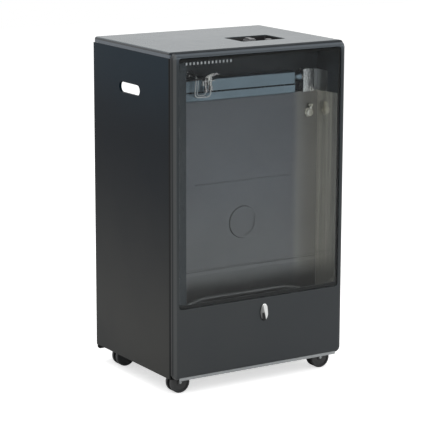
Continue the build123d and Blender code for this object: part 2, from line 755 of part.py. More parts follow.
with BuildPart() as injector:
    with BuildSketch(side_plane(mouth_x + 2)):
        with Locations((injector_y, injector_z)):
            Circle(2.6)
    extrude(amount=4)
    with BuildSketch(side_plane(bracket_left - 1.5)):
        with Locations((injector_y, injector_z)):
            RegularPolygon(6.5, 6)
    extrude(amount=1.5)
    with BuildSketch(side_plane(bracket_left)):
        with Locations((injector_y, injector_z)):
            Circle(5.0)
    extrude(amount=fitting_x - bracket_left)
    # elbow down to the riser behind the reflector
    block((fitting_x - 6, fitting_x + 6), (injector_y - 5, riser_y + elbow_half),
          (injector_z - elbow_half, injector_z + elbow_half))
    fillet(injector.edges().filter_by(Axis.Z).group_by(Axis.X)[-1], 2)
save(injector, "injector")

with BuildPart() as riser_pipe:
    with BuildSketch(Plane.XY.offset(fitting_z + elbow_half)):
        with Locations((fitting_x, riser_y)):
            Circle(riser_radius)
    extrude(amount=injector_z - fitting_z - 2 * elbow_half)
save(riser_pipe, "riser_pipe")

with BuildPart() as bulkhead_fitting:
    with BuildSketch(front_plane(reflector_y)):
        with Locations((fitting_x, fitting_z)):
            RegularPolygon(11.0, 6)
    extrude(amount=5)
    with BuildSketch(front_plane(reflector_y - 5)):
        with Locations((fitting_x, fitting_z)):
            Circle(8.5)
    extrude(amount=6)
    fillet(bulkhead_fitting.faces().sort_by(Axis.Y)[0].edges(), 3)
    # upright stub with its closing nut
    with Locations((fitting_x + 3, reflector_y - 6, fitting_z + 11)):
        Cylinder(4.2, 14)
    with BuildSketch(Plane.XY.offset(fitting_z + 13)):
        with Locations((fitting_x + 3, reflector_y - 6)):
            RegularPolygon(5.6, 6)
    extrude(amount=6)
    # shank through the reflector and the elbow behind it
    with BuildSketch(front_plane(reflector_y)):
        with Locations((fitting_x, fitting_z)):
            Circle(gas_pipe_radius)
    extrude(amount=-(thin_sheet + fit_gap))
    block((fitting_x - elbow_half, fitting_x + elbow_half),
          (reflector_back_y + fit_gap, riser_y + elbow_half),
          (fitting_z - elbow_half, fitting_z + elbow_half))
save(bulkhead_fitting, "bulkhead_fitting")

# --- pilot assembly -----------------------------------------------------------------------
electrode_tip = Vector(pilot_x + 4, electrode_y, pilot_plate_z + 15)
electrode_dir = Vector(-0.93, 0, -0.37).normalized()
ceramic_start = electrode_tip + electrode_dir * 5
ceramic_length = 14.0
ceramic_radius = 1.9
ceramic_mid = ceramic_start + electrode_dir * (ceramic_length / 2)
plate_front = electrode_y - 3.0
with BuildPart() as pilot_bracket:
    with BuildSketch(Plane.XY.offset(pilot_plate_z)):
        with Locations(((pilot_x + thermocouple_x) / 2, (burner_front + plate_front) / 2)):
            RectangleRounded(thermocouple_pitch + 16, burner_front - plate_front, 3)
        with Locations((pilot_x, pilot_y)):
            Circle(3.5, mode=Mode.SUBTRACT)
        with Locations((thermocouple_x, pilot_y)):
            Circle(2.6, mode=Mode.SUBTRACT)
    extrude(amount=1.2)
    block((thermocouple_x - 4, pilot_x + 6), (burner_front - 1.2, burner_front),
          (pilot_plate_z - 12, pilot_plate_z))
save(pilot_bracket, "pilot_bracket")

with BuildPart() as pilot_burner:
    with BuildSketch(Plane.XY.offset(pilot_base)):
        with Locations((pilot_x, pilot_y)):
            RegularPolygon(5.0, 6)
    extrude(amount=9)
    with BuildSketch(Plane.XY.offset(pilot_base + 9)):
        with Locations((pilot_x, pilot_y)):
            Circle(3.5)
    extrude(amount=pilot_plate_z + 8 - pilot_base - 9)
    with BuildSketch(front_plane(pilot_y)):
        with BuildLine():
            hood_z = pilot_plate_z + 8
            Polyline((pilot_x - 3, hood_z), (pilot_x + 3, hood_z), (pilot_x + 14, hood_z + 4),
                     (pilot_x + 19, hood_z + 3), (pilot_x + 19.5, hood_z + 4.5), (pilot_x + 13, hood_z + 7),
                     (pilot_x - 3, hood_z + 4), (pilot_x - 3, hood_z))
        make_face()
    extrude(amount=3, both=True)
save(pilot_burner, "pilot_burner")

with BuildPart() as thermocouple:
    with BuildSketch(Plane.XY.offset(thermocouple_base)):
        with Locations((thermocouple_x, pilot_y)):
            RegularPolygon(4.2, 6)
    extrude(amount=7)
    with BuildSketch(Plane.XY.offset(thermocouple_base + 7)):
        with Locations((thermocouple_x, pilot_y)):
            Circle(2.6)
    extrude(amount=pilot_plate_z + 6 - thermocouple_base - 7)
    fillet(thermocouple.faces().sort_by(Axis.Z)[-1].edges(), 1.5)
save(thermocouple, "thermocouple")

with BuildPart() as spark_electrode:
    with BuildSketch(Plane(ceramic_start, z_dir=electrode_dir)):
        Circle(ceramic_radius)
    extrude(amount=ceramic_length)
    with BuildSketch(Plane(electrode_tip, z_dir=electrode_dir)):
        Circle(0.8)
    extrude(amount=5 + ceramic_length + 2)
    # foot on the pilot's plate
    with BuildSketch(Plane.XY.offset(pilot_plate_z + 1.2)):
        with Locations((ceramic_mid.X, electrode_y)):
            Rectangle(4, 3.4)
    extrude(amount=ceramic_mid.Z - pilot_plate_z - 1.2)
save(spark_electrode, "spark_electrode")

# --- control well, valve and its mounting -------------------------------------------------
with BuildPart() as control_well:
    with BuildSketch(Plane.XY.offset(lid_under)):
        with Locations((well_x, well_y)):
            RectangleRounded(well_width, well_length, 7)
    extrude(amount=-(lid_under - well_floor_under))
    fillet(control_well.faces().sort_by(Axis.Z)[0].edges(), 3)
    offset(amount=-well_wall, openings=control_well.faces().sort_by(Axis.Z)[-1])
    with BuildSketch(Plane.XY.offset(lid_under)):
        with Locations((well_x, well_y)):
            RectangleRounded(well_width + 2 * well_rim, well_length + 2 * well_rim, 10)
            RectangleRounded(well_width - 2 * well_wall, well_length - 2 * well_wall, 5.5,
                             mode=Mode.SUBTRACT)
    extrude(amount=-well_wall)
    with Locations((knob_x, knob_y, well_floor_under)):
        Cylinder(stem_radius + 2, 10, mode=Mode.SUBTRACT)
    with Locations((button_x, button_y, well_floor_under)):
        Cylinder(5.5, 10, mode=Mode.SUBTRACT)
save(control_well, "control_well")

with BuildPart() as valve_bracket:
    with BuildSketch(Plane.XY.offset(valve_top)):
        with Locations((knob_x, (shield_y + thin_sheet + knob_y + 22) / 2)):
            Rectangle(valve_length + 2, knob_y + 22 - shield_y - thin_sheet)
        with Locations((knob_x, knob_y)):
            Circle(12.5, mode=Mode.SUBTRACT)
    extrude(amount=lid_sheet)
    block((knob_x - valve_length / 2 - 1, knob_x + valve_length / 2 + 1),
          (shield_y + thin_sheet, shield_y + 2 * thin_sheet + 0.4), (valve_top - 22, valve_top))
save(valve_bracket, "valve_bracket")

valve_bottom = valve_top - valve_height
outlet_z = valve_bottom + 8
inlet_z = valve_bottom + 26
with BuildPart() as gas_valve:
    block((knob_x - valve_length / 2, knob_x + valve_length / 2),
          (knob_y - valve_width / 2, knob_y + valve_width / 2), (valve_bottom, valve_top))
    fillet(gas_valve.edges().filter_by(Axis.Z), 6)
    chamfer(gas_valve.faces().sort_by(Axis.Z)[0].edges(), 3)
    with Locations((knob_x, knob_y, valve_top + lid_sheet / 2)):
        Cylinder(12.0, lid_sheet)
    with BuildSketch(side_plane(knob_x + valve_length / 2 - 2)):
        with Locations((knob_y, outlet_z)):
            RegularPolygon(8, 6)
    extrude(amount=12)
    with BuildSketch(side_plane(knob_x - valve_length / 2 + 2)):
        with Locations((knob_y, outlet_z + 10)):
            RegularPolygon(6, 6)
    extrude(amount=-10)
    with BuildSketch(front_plane(knob_y + valve_width / 2 - 2)):
        with Locations((knob_x, inlet_z)):
            RegularPolygon(9, 6)
    extrude(amount=-12)
    with Locations((knob_x, knob_y, valve_top - 12)):
        Cylinder(stem_radius + running_gap, 30, mode=Mode.SUBTRACT)
save(gas_valve, "gas_valve")

nozzle_start = knob_y + valve_width / 2 + 10
with BuildPart() as hose_nozzle:
    with BuildSketch(side_plane(knob_x)):
        with BuildLine():
            Polyline((nozzle_start, inlet_z), (nozzle_start, inlet_z + 7), (nozzle_start + 4, inlet_z + 7),
                     (nozzle_start + 4, inlet_z + nozzle_radius),
                     (nozzle_start + 4 + nozzle_length, inlet_z + nozzle_radius),
                     (nozzle_start + 4 + nozzle_length, inlet_z + nozzle_radius + 0.8),
                     (nozzle_start + 9 + nozzle_length, inlet_z + nozzle_radius - 0.8),
                     (nozzle_start + 9 + nozzle_length, inlet_z), (nozzle_start, inlet_z))
        make_face()
    revolve(axis=Axis((knob_x, 0, inlet_z), (0, 1, 0)))
    with BuildSketch(front_plane(nozzle_start + 9 + nozzle_length)):
        with Locations((knob_x, inlet_z)):
            Circle(2.4)
    extrude(amount=nozzle_length, mode=Mode.SUBTRACT)
save(hose_nozzle, "hose_nozzle")

knob_bottom = well_floor_top + stem_travel + press_gap
knob_top = total_height - 0.5
with BuildPart() as valve_stem:
    with BuildSketch(Plane.XY.offset(valve_top - 14)):
        with Locations((knob_x, knob_y)):
            Circle(stem_radius)
    extrude(amount=knob_top - 7 - valve_top + 14)
save(valve_stem, "valve_stem")

with BuildPart() as control_knob:
    with BuildSketch(front_plane(knob_y)):
        with BuildLine():
            Polyline((knob_x, knob_bottom), (knob_x + knob_radius, knob_bottom),
                     (knob_x + knob_radius, knob_bottom + 3), (knob_x + knob_radius - 3.5, knob_bottom + 6),
                     (knob_x + knob_radius - 5, knob_top - 1.5), (knob_x + knob_radius - 6.5, knob_top),
                     (knob_x, knob_top), (knob_x, knob_bottom))
        make_face()
    revolve(axis=Axis((knob_x, knob_y, 0), (0, 0, 1)))
    # finger hollows either side of the grip bar
    for side in (-1, 1):
        with BuildSketch(Plane.XY.offset(knob_top - hollow_depth)):
            with Locations((knob_x + side * 13, knob_y)):
                Ellipse(8, 15)
        extrude(amount=2 * hollow_depth, mode=Mode.SUBTRACT)
    with Locations((knob_x, knob_y, (knob_bottom + knob_top - 7 + fit_gap) / 2)):
        Cylinder(stem_radius + running_gap, knob_top - 7 + fit_gap - knob_bottom, mode=Mode.SUBTRACT)
save(control_knob, "control_knob")

# --- igniter: body under the well, sprung button ------------------------------------------
igniter_bottom = well_floor_under - 32
with BuildPart() as igniter_body:
    with BuildSketch(Plane.XY.offset(well_floor_under)):
        with Locations((button_x, button_y)):
            Circle(10)
    extrude(amount=-32)
    with BuildSketch(Plane.XY.offset(well_floor_under - 3)):
        with Locations((button_x, button_y)):
            RegularPolygon(12, 6)
    extrude(amount=-5)
    with BuildSketch(Plane.XY.offset(igniter_bottom)):
        with Locations((button_x, button_y)):
            Circle(2)
    extrude(amount=-5)
    with Locations((button_x, button_y, well_floor_under - 10)):
        Cylinder(4.0 + running_gap, 20.01, mode=Mode.SUBTRACT)
save(igniter_body, "igniter_body")

button_bottom = well_floor_top + button_travel + press_gap
with BuildPart() as igniter_button:
    with BuildSketch(Plane.XY.offset(button_bottom)):
        with Locations((button_x, button_y)):
            Circle(button_radius)
    extrude(amount=button_height)
    fillet(igniter_button.faces().sort_by(Axis.Z)[-1].edges(), 1.6)
    with BuildSketch(Plane.XY.offset(button_bottom)):
        with Locations((button_x, button_y)):
            Circle(4.0)
    extrude(amount=-(button_bottom - well_floor_under + 12))
save(igniter_button, "igniter_button")

# --- pipes and leads that the heater holds all the way ------------------------------------
back_run_y = shield_y + 22.0
feed_end_y = riser_y + elbow_half
bent_tube([(knob_x + valve_length / 2 + 10, knob_y, outlet_z), (fitting_x, knob_y, outlet_z),
           (fitting_x, back_run_y, outlet_z - 6), (fitting_x, back_run_y, fitting_z),
           (fitting_x, feed_end_y, fitting_z)], [14, 14, 14], gas_pipe_radius, "burner_feed_pipe")

valve_left = knob_x - valve_length / 2
pilot_loop_z = pilot_base - 13.0
bent_tube([(valve_left - 8, knob_y, outlet_z + 10), (valve_left - 23, knob_y, outlet_z + 10),
           (valve_left - 23, back_run_y, pilot_hole[1]), (pilot_hole[0], back_run_y, pilot_hole[1]),
           (pilot_hole[0], pilot_y, pilot_hole[1]), (pilot_hole[0] - 5, pilot_y, pilot_loop_z),
           (pilot_x, pilot_y, pilot_loop_z), (pilot_x, pilot_y, pilot_base)],
          [8, 8, 8, 8, 8, 8], pilot_pipe_radius, "pilot_pipe")

lead_run_y = back_run_y + 6
lead_loop_z = thermocouple_base - 6.0
bent_tube([(thermocouple_x, pilot_y, thermocouple_base), (thermocouple_x, pilot_y, lead_loop_z),
           (thermocouple_hole[0] - 4, pilot_y, lead_loop_z),
           (thermocouple_hole[0], pilot_y, thermocouple_hole[1]),
           (thermocouple_hole[0], lead_run_y, thermocouple_hole[1]),
           (valve_left - 17, lead_run_y, thermocouple_hole[1]), (valve_left - 17, knob_y, outlet_z + 22),
           (valve_left, knob_y, outlet_z + 22)],
          [5, 5, 8, 8, 8, 8], thermocouple_lead_radius, "thermocouple_lead")

lead_end = electrode_tip + electrode_dir * (5 + ceramic_length + 2)
lead_bend = lead_end + electrode_dir * 5
ignition_run_y = back_run_y - 8
bent_tube([(button_x, button_y, igniter_bottom - 5), (button_x, button_y, ignition_hole[1]),
           (button_x, ignition_run_y, ignition_hole[1]),
           (ignition_hole[0], ignition_run_y, ignition_hole[1]),
           (ignition_hole[0], electrode_y, ignition_hole[1]),
           (burner_left + 28, electrode_y, burner_top),
           (lead_bend.X, electrode_y, lead_bend.Z), (lead_end.X, electrode_y, lead_end.Z)],
          [7, 8, 8, 8, 8, 3], ignition_lead_radius, "ignition_lead")


# --- castors ------------------------------------------------------------------------------
castor_x = half_width - castor_inset
castor_front_y = front_y + castor_front_inset
castor_rear_y = half_depth - castor_rear_inset
plate_under = pan_floor - plate_thickness
hood_top = wheel_radius + hood_outer + 1.0
castor_places = {
    "front_left": (-castor_x, castor_front_y, -1),
    "front_right": (castor_x, castor_front_y, 1),
    "rear_left": (-castor_x, castor_rear_y, -1),
    "rear_right": (castor_x, castor_rear_y, 1),
}

with BuildPart() as castor_plates:
    for cx, cy, side in castor_places.values():
        with BuildSketch(Plane.XY.offset(plate_under)):
            with Locations((cx, cy)):
                RectangleRounded(plate_size, plate_size, 4)
        extrude(amount=plate_thickness)
        with BuildSketch(Plane.XY.offset(hood_top + fit_gap)):
            with Locations((cx, cy)):
                Circle(neck_radius)
                Circle(swivel_radius + running_gap, mode=Mode.SUBTRACT)
        extrude(amount=plate_under - hood_top - fit_gap)
save(castor_plates, "castor_plates")


def castor_hood(cx, cy, side, name):
    """Fender over the wheels with a web between them and the swivel boss."""
    axle_x = cx + side * castor_trail
    with BuildPart() as hood:
        # fender
        with BuildSketch(front_plane(cy)):
            with Locations((axle_x, wheel_radius)):
                Circle(hood_outer)
                Circle(hood_inner, mode=Mode.SUBTRACT)
            with Locations((axle_x, 0)):
                Rectangle(4 * hood_outer, 2 * hood_edge, mode=Mode.SUBTRACT)
        extrude(amount=castor_half, both=True)
        # swivel boss
        with BuildSketch(Plane.XY.offset(hood_top)):
            with Locations((cx, cy)):
                Circle(8.5)
        extrude(amount=-17)
        with BuildSketch(front_plane(cy)):
            with Locations((axle_x, wheel_radius)):
                Circle(hood_inner)
        extrude(amount=castor_half + 2, both=True, mode=Mode.SUBTRACT)
        # web between the wheels, from the axle to the swivel boss
        with BuildSketch(front_plane(cy)):
            with BuildLine():
                Polyline((axle_x - side * 10, hood_top - 1), (axle_x + side * 4, wheel_radius - 6),
                         (cx - side * 5, wheel_radius + 2), (cx - side * 8, hood_top - 1),
                         (axle_x - side * 10, hood_top - 1))
            make_face()
            with Locations((axle_x, wheel_radius)):
                Circle(7)
        extrude(amount=web_width / 2, both=True)
        # swivel stem, up into the neck
        with BuildSketch(Plane.XY.offset(hood_top - 2)):
            with Locations((cx, cy)):
                Circle(swivel_radius)
        extrude(amount=plate_under - fit_gap - hood_top + 2)
        with BuildSketch(front_plane(cy)):
            with Locations((axle_x, wheel_radius)):
                Circle(axle_radius + running_gap)
        extrude(amount=web_width, both=True, mode=Mode.SUBTRACT)
    save(hood, name)


def castor_wheels(cx, cy, side, name):
    """Two rimmed discs, one each side of the web."""
    axle_x = cx + side * castor_trail
    with BuildPart() as wheels:
        with BuildSketch(front_plane(cy)):
            with Locations((axle_x, wheel_radius)):
                Circle(wheel_radius)
                Circle(axle_radius, mode=Mode.SUBTRACT)
        extrude(amount=castor_half, both=True)
        for face in (-1, 1):
            with BuildSketch(front_plane(cy - face * castor_half)):
                with Locations((axle_x, wheel_radius)):
                    Circle(wheel_radius - 4.5)
                    Circle(6.5, mode=Mode.SUBTRACT)
            extrude(amount=-face * 2.0, mode=Mode.SUBTRACT)
        block((axle_x - 2 * wheel_radius, axle_x + 2 * wheel_radius),
              (cy - web_width / 2 - wheel_gap, cy + web_width / 2 + wheel_gap),
              (-1, 3 * wheel_radius), Mode.SUBTRACT)
        rims = wheels.edges().filter_by(GeomType.CIRCLE).filter_by(lambda e: e.radius > wheel_radius - 0.1)
        fillet([e for e in rims if abs(abs(e.center().Y - cy) - castor_half) < 0.1], 2.0)
    save(wheels, name)


def castor_axle(cx, cy, side, name):
    """Plain pin through both wheels and the web."""
    axle_x = cx + side * castor_trail
    with BuildPart() as axle:
        with BuildSketch(front_plane(cy)):
            with Locations((axle_x, wheel_radius)):
                Circle(axle_radius)
        extrude(amount=castor_half, both=True)
    save(axle, name)


for place, (cx, cy, side) in castor_places.items():
    castor_hood(cx, cy, side, f"castor_{place}_hood")
    castor_wheels(cx, cy, side, f"castor_{place}_wheels")
    castor_axle(cx, cy, side, f"castor_{place}_axle")
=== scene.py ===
import json
import math
import bpy
from mathutils import Matrix, Vector


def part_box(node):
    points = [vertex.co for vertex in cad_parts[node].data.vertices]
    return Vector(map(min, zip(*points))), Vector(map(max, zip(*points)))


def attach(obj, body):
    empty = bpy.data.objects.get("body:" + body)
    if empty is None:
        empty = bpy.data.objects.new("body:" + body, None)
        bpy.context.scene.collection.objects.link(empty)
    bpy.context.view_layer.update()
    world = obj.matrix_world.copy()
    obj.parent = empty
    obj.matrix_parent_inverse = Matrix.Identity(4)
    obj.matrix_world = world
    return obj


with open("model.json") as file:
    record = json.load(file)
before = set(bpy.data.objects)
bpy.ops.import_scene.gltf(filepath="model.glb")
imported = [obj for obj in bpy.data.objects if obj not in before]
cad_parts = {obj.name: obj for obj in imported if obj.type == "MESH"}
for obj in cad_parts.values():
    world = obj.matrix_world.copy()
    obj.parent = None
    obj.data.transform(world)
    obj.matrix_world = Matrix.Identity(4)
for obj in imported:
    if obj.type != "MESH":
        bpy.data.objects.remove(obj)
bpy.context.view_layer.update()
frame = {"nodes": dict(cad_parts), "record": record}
print("frame loaded:", len(frame["nodes"]), "nodes")

alongX, alongY, alongZ = (1.0, 0.0, 0.0), (0.0, 1.0, 0.0), (0.0, 0.0, 1.0)


# shader groups that several finishes share

def newGroup(name, inputs, outputs):
    group = bpy.data.node_groups.new(name, "ShaderNodeTree")
    for label, kind, value in inputs:
        group.interface.new_socket(label, in_out="INPUT", socket_type=kind).default_value = value
    for label in outputs:
        group.interface.new_socket(label, in_out="OUTPUT", socket_type="NodeSocketFloat")
    return group, group.nodes.new("NodeGroupInput"), group.nodes.new("NodeGroupOutput")


def noiseAt(tree, vector, scale, detail=3.0, roughness=0.5):
    noise = tree.nodes.new("ShaderNodeTexNoise")
    noise.inputs["Detail"].default_value = detail
    noise.inputs["Roughness"].default_value = roughness
    tree.links.new(vector, noise.inputs["Vector"])
    if isinstance(scale, (int, float)):
        noise.inputs["Scale"].default_value = scale
    else:
        tree.links.new(scale, noise.inputs["Scale"])
    return noise.outputs["Fac"]


def spread(tree, value, fromLow, fromHigh, toLow=0.0, toHigh=1.0):
    remap = tree.nodes.new("ShaderNodeMapRange")
    remap.interpolation_type = "SMOOTHSTEP"
    tree.links.new(value, remap.inputs["Value"])
    ends = {"From Min": fromLow, "From Max": fromHigh, "To Min": toLow, "To Max": toHigh}
    for label, number in ends.items():
        if isinstance(number, (int, float)):
            remap.inputs[label].default_value = number
        else:
            tree.links.new(number, remap.inputs[label])
    return remap.outputs["Result"]


def roughBetween(tree, mask, look):
    return spread(tree, mask, fromLow=0.0, fromHigh=1.0, toLow=look["roughLow"], toHigh=look["roughHigh"])


def sums(tree, operation, first, second):
    node = tree.nodes.new("ShaderNodeMath")
    node.operation = operation
    for index, value in enumerate((first, second)):
        if isinstance(value, (int, float)):
            node.inputs[index].default_value = value
        else:
            tree.links.new(value, node.inputs[index])
    return node.outputs[0]


def times(tree, first, second):
    return sums(tree, "MULTIPLY", first, second)


def plus(tree, first, second):
    return sums(tree, "ADD", first, second)


def objectPlace(tree):
    return tree.nodes.new("ShaderNodeTexCoord").outputs["Object"]


def makePowderCoat():
    group, start, end = newGroup("powderCoat", [("Peel Scale", "NodeSocketFloat", 700.0),
                                                ("Cloud Scale", "NodeSocketFloat", 5.0)],
                                 ["Height", "Cloud", "Speck"])
    gritPerPeel = 2.7  # the specks are this much finer than the orange peel
    place = objectPlace(group)
    peel = noiseAt(group, place, start.outputs["Peel Scale"], detail=2.0, roughness=0.6)
    cloud = noiseAt(group, place, start.outputs["Cloud Scale"], detail=4.0, roughness=0.55)
    grit = noiseAt(group, place, times(group, start.outputs["Peel Scale"], gritPerPeel), detail=1.0)
    group.links.new(peel, end.inputs["Height"])
    group.links.new(spread(group, cloud, fromLow=0.35, fromHigh=0.68), end.inputs["Cloud"])
    group.links.new(spread(group, grit, fromLow=0.62, fromHigh=0.72), end.inputs["Speck"])
    return group


def makeBrushedSheet():
    group, start, end = newGroup("brushedSheet", [("Stretch", "NodeSocketVector", (40.0, 40.0, 900.0)),
                                                  ("Smudge Scale", "NodeSocketFloat", 9.0)],
                                 ["Streak", "Height", "Smudge"])
    place = objectPlace(group)
    stretched = group.nodes.new("ShaderNodeVectorMath")
    stretched.operation = "MULTIPLY"
    group.links.new(place, stretched.inputs[0])
    group.links.new(start.outputs["Stretch"], stretched.inputs[1])
    streak = noiseAt(group, stretched.outputs["Vector"], scale=1.0, detail=5.0, roughness=0.7)
    smudge = noiseAt(group, place, start.outputs["Smudge Scale"], detail=5.0, roughness=0.6)
    group.links.new(spread(group, streak, fromLow=0.3, fromHigh=0.7), end.inputs["Streak"])
    group.links.new(streak, end.inputs["Height"])
    group.links.new(spread(group, smudge, fromLow=0.38, fromHigh=0.7), end.inputs["Smudge"])
    return group


# a mask that rises from low to high along a direction, with a slightly wavy edge
def makeSteadyFade():
    group, start, end = newGroup("steadyFade", [("Along", "NodeSocketVector", alongZ),
                                                ("Low", "NodeSocketFloat", 0.0),
                                                ("High", "NodeSocketFloat", 1.0),
                                                ("Waver", "NodeSocketFloat", 0.01)], ["Mask"])
    noiseMiddle = 0.5
    place = objectPlace(group)
    reach = group.nodes.new("ShaderNodeVectorMath")
    reach.operation = "DOT_PRODUCT"
    group.links.new(place, reach.inputs[0])
    group.links.new(start.outputs["Along"], reach.inputs[1])
    waves = sums(group, "SUBTRACT", noiseAt(group, place, scale=14.0), noiseMiddle)
    far = plus(group, reach.outputs["Value"], times(group, waves, start.outputs["Waver"]))
    group.links.new(spread(group, far, start.outputs["Low"], start.outputs["High"]), end.inputs["Mask"])
    return group


def makeDustVeil():
    group, start, end = newGroup("dustVeil", [("Amount", "NodeSocketFloat", 0.2)], ["Mask"])
    facing = group.nodes.new("ShaderNodeSeparateXYZ")
    group.links.new(group.nodes.new("ShaderNodeTexCoord").outputs["Normal"], facing.inputs["Vector"])
    upward = spread(group, facing.outputs["Z"], fromLow=0.2, fromHigh=1.0)
    patches = noiseAt(group, objectPlace(group), scale=26.0, detail=6.0, roughness=0.65)
    settled = times(group, upward, spread(group, patches, fromLow=0.35, fromHigh=0.75))
    group.links.new(times(group, settled, start.outputs["Amount"]), end.inputs["Mask"])
    return group


powderCoat = makePowderCoat()
brushedSheet = makeBrushedSheet()
steadyFade = makeSteadyFade()
dustVeil = makeDustVeil()


# small helpers for the finishes

def startFinish(name):
    finish = bpy.data.materials.new(name)
    finish.use_nodes = True
    return finish, finish.node_tree, finish.node_tree.nodes["Principled BSDF"]


def useGroup(tree, group, values):
    node = tree.nodes.new("ShaderNodeGroup")
    node.node_tree = group
    for label, value in values.items():
        node.inputs[label].default_value = value
    return node.outputs


def blendColour(tree, mask, first, second):
    mix = tree.nodes.new("ShaderNodeMix")
    mix.data_type = "RGBA"
    tree.links.new(mask, mix.inputs[0])
    for index, value in ((6, first), (7, second)):  # the mix node's two colour sockets
        if isinstance(value, (tuple, list)):
            mix.inputs[index].default_value = (*value, 1.0)
        else:
            tree.links.new(value, mix.inputs[index])
    return mix.outputs[2]


def bumpFrom(tree, shader, height, strength, distance):
    bump = tree.nodes.new("ShaderNodeBump")
    bump.inputs["Strength"].default_value = strength
    bump.inputs["Distance"].default_value = distance
    tree.links.new(height, bump.inputs["Height"])
    tree.links.new(bump.outputs["Normal"], shader.inputs["Normal"])


def fadeMask(tree, fade):
    return useGroup(tree, steadyFade, {"Along": fade.get("along", alongZ), "Low": fade["low"],
                                       "High": fade["high"], "Waver": fade.get("waver", 0.0)})["Mask"]


def applyFades(tree, colour, fades):
    for fade in fades:
        colour = blendColour(tree, times(tree, fadeMask(tree, fade), fade["share"]), colour, fade["colour"])
    return colour


def paintFinish(name, look):
    finish, tree, shader = startFinish(name)
    coat = useGroup(tree, powderCoat, {"Peel Scale": look["peelScale"], "Cloud Scale": look["cloudScale"]})
    dust = useGroup(tree, dustVeil, {"Amount": look["dust"]})["Mask"]
    # the body colour runs from the foot colour to the top colour: a painted reflection
    body = blendColour(tree, fadeMask(tree, look["rise"]), look["footColour"], look["topColour"])
    clouded = blendColour(tree, times(tree, coat["Cloud"], look["cloud"]), body, look["cloudColour"])
    specked = blendColour(tree, times(tree, coat["Speck"], look["speck"]), clouded, look["speckColour"])
    # the edges' bands lay painted light and shade over the paint
    withPaintedLight = applyFades(tree, specked, look["edges"])
    tree.links.new(blendColour(tree, dust, withPaintedLight, look["dustColour"]), shader.inputs["Base Color"])
    rough = plus(tree, roughBetween(tree, coat["Cloud"], look), times(tree, dust, look["dustRough"]))
    if "matt" in look:
        rough = plus(tree, rough, times(tree, fadeMask(tree, look["matt"]), look["matt"]["more"]))
    tree.links.new(rough, shader.inputs["Roughness"])
    shader.inputs["Specular IOR Level"].default_value = look["specular"]
    shader.inputs["Specular Tint"].default_value = (*look["sheen"], 1.0)
    bumpFrom(tree, shader, coat["Height"], look["peel"], look["peelDepth"])
    return finish


def metalFinish(name, look):
    finish, tree, shader = startFinish(name)
    sheet = useGroup(tree, brushedSheet, {"Stretch": look["stretch"], "Smudge Scale": look["smudgeScale"]})
    streaked = blendColour(tree, times(tree, sheet["Streak"], look["streak"]), look["colour"],
                           look["streakColour"])
    smudged = blendColour(tree, times(tree, sheet["Smudge"], look["smudge"]), streaked,
                          look["smudgeColour"])
    tree.links.new(applyFades(tree, smudged, look["fades"]), shader.inputs["Base Color"])
    rough = plus(tree, roughBetween(tree, sheet["Streak"], look),
                 times(tree, sheet["Smudge"], look["smudgeRough"]))
    tree.links.new(rough, shader.inputs["Roughness"])
    shader.inputs["Metallic"].default_value = look["metallic"]
    bumpFrom(tree, shader, sheet["Height"], look["bump"], look["bumpDepth"])
    return finish


def mouldedFinish(name, look):
    finish, tree, shader = startFinish(name)
    coat = useGroup(tree, powderCoat, {"Peel Scale": look["grainScale"], "Cloud Scale": look["cloudScale"]})
    dust = useGroup(tree, dustVeil, {"Amount": look["dust"]})["Mask"]
    colour = blendColour(tree, coat["Cloud"], look["colour"], look["cloudColour"])
    colour = blendColour(tree, dust, colour, look["dustColour"])
    rough = roughBetween(tree, coat["Cloud"], look)
    if "bareFrom" in look:  # a corner of bare metal, kept inside three limits
        across = tree.nodes.new("ShaderNodeSeparateXYZ")
        tree.links.new(objectPlace(tree), across.inputs["Vector"])
        sides = [spread(tree, across.outputs[axis], *look["bareFrom"][axis]) for axis in "XYZ"]
        bare = times(tree, times(tree, sides[0], sides[1]), sides[2])
        colour = blendColour(tree, bare, colour, look["bareColour"])
        rough = sums(tree, "SUBTRACT", rough, times(tree, bare, look["bareShine"]))
        tree.links.new(bare, shader.inputs["Metallic"])
    tree.links.new(colour, shader.inputs["Base Color"])
    tree.links.new(rough, shader.inputs["Roughness"])
    bumpFrom(tree, shader, coat["Height"], look["grain"], look["grainDepth"])
    return finish


def nodesWith(slotName):
    return [part["node"] for part in frame["record"]["subparts"] if part["material_slot"] == slotName]


def dress(names, finish):
    for name in names:
        for place in frame["nodes"][name].material_slots:
            place.material = finish
    print("finish", finish.name, "on", len(names), "nodes")


def finishName(slotName):
    return slotName.replace("_", " ").title().replace(" ", "")


# painted panels: the edges' fades are bands of painted light and shade that follow the folds, in metres along
# their direction

basePaint = {"peelScale": 620.0, "peel": 0.05, "peelDepth": 0.0002, "cloudScale": 3.0, "cloud": 0.3,
             # lighter at the foot and darker and bluer towards the top: a painted reflection
             "rise": {"low": 0.02, "high": 0.55, "waver": 0.05},
             "footColour": (0.036, 0.036, 0.033), "topColour": (0.001, 0.003, 0.006),
             "cloudColour": (0.005, 0.009, 0.014), "speck": 0.35, "speckColour": (0.014, 0.017, 0.021),
             # the dust is pale blue: partly dust on upward faces, partly a painted reflection of the sky
             "dust": 0.05, "dustColour": (0.3, 0.325, 0.34), "dustRough": 0.3,
             "roughLow": 0.30, "roughHigh": 0.38, "specular": 0.1, "sheen": (0.94, 0.98, 1.0),
             # painted light: a bluish painted reflection on the upper part, and painted shade in the seam
             # along the front edge
             "edges": [{"low": 0.52, "high": 0.72, "waver": 0.04, "share": 1.0,
                        "colour": (0.006, 0.015, 0.024)},
                       {"along": alongY, "low": -0.1480, "high": -0.1515, "share": 1.0,
                        "colour": (0.0005, 0.0006, 0.0007)}]}

rearPaint = dict(basePaint, specular=0.3)
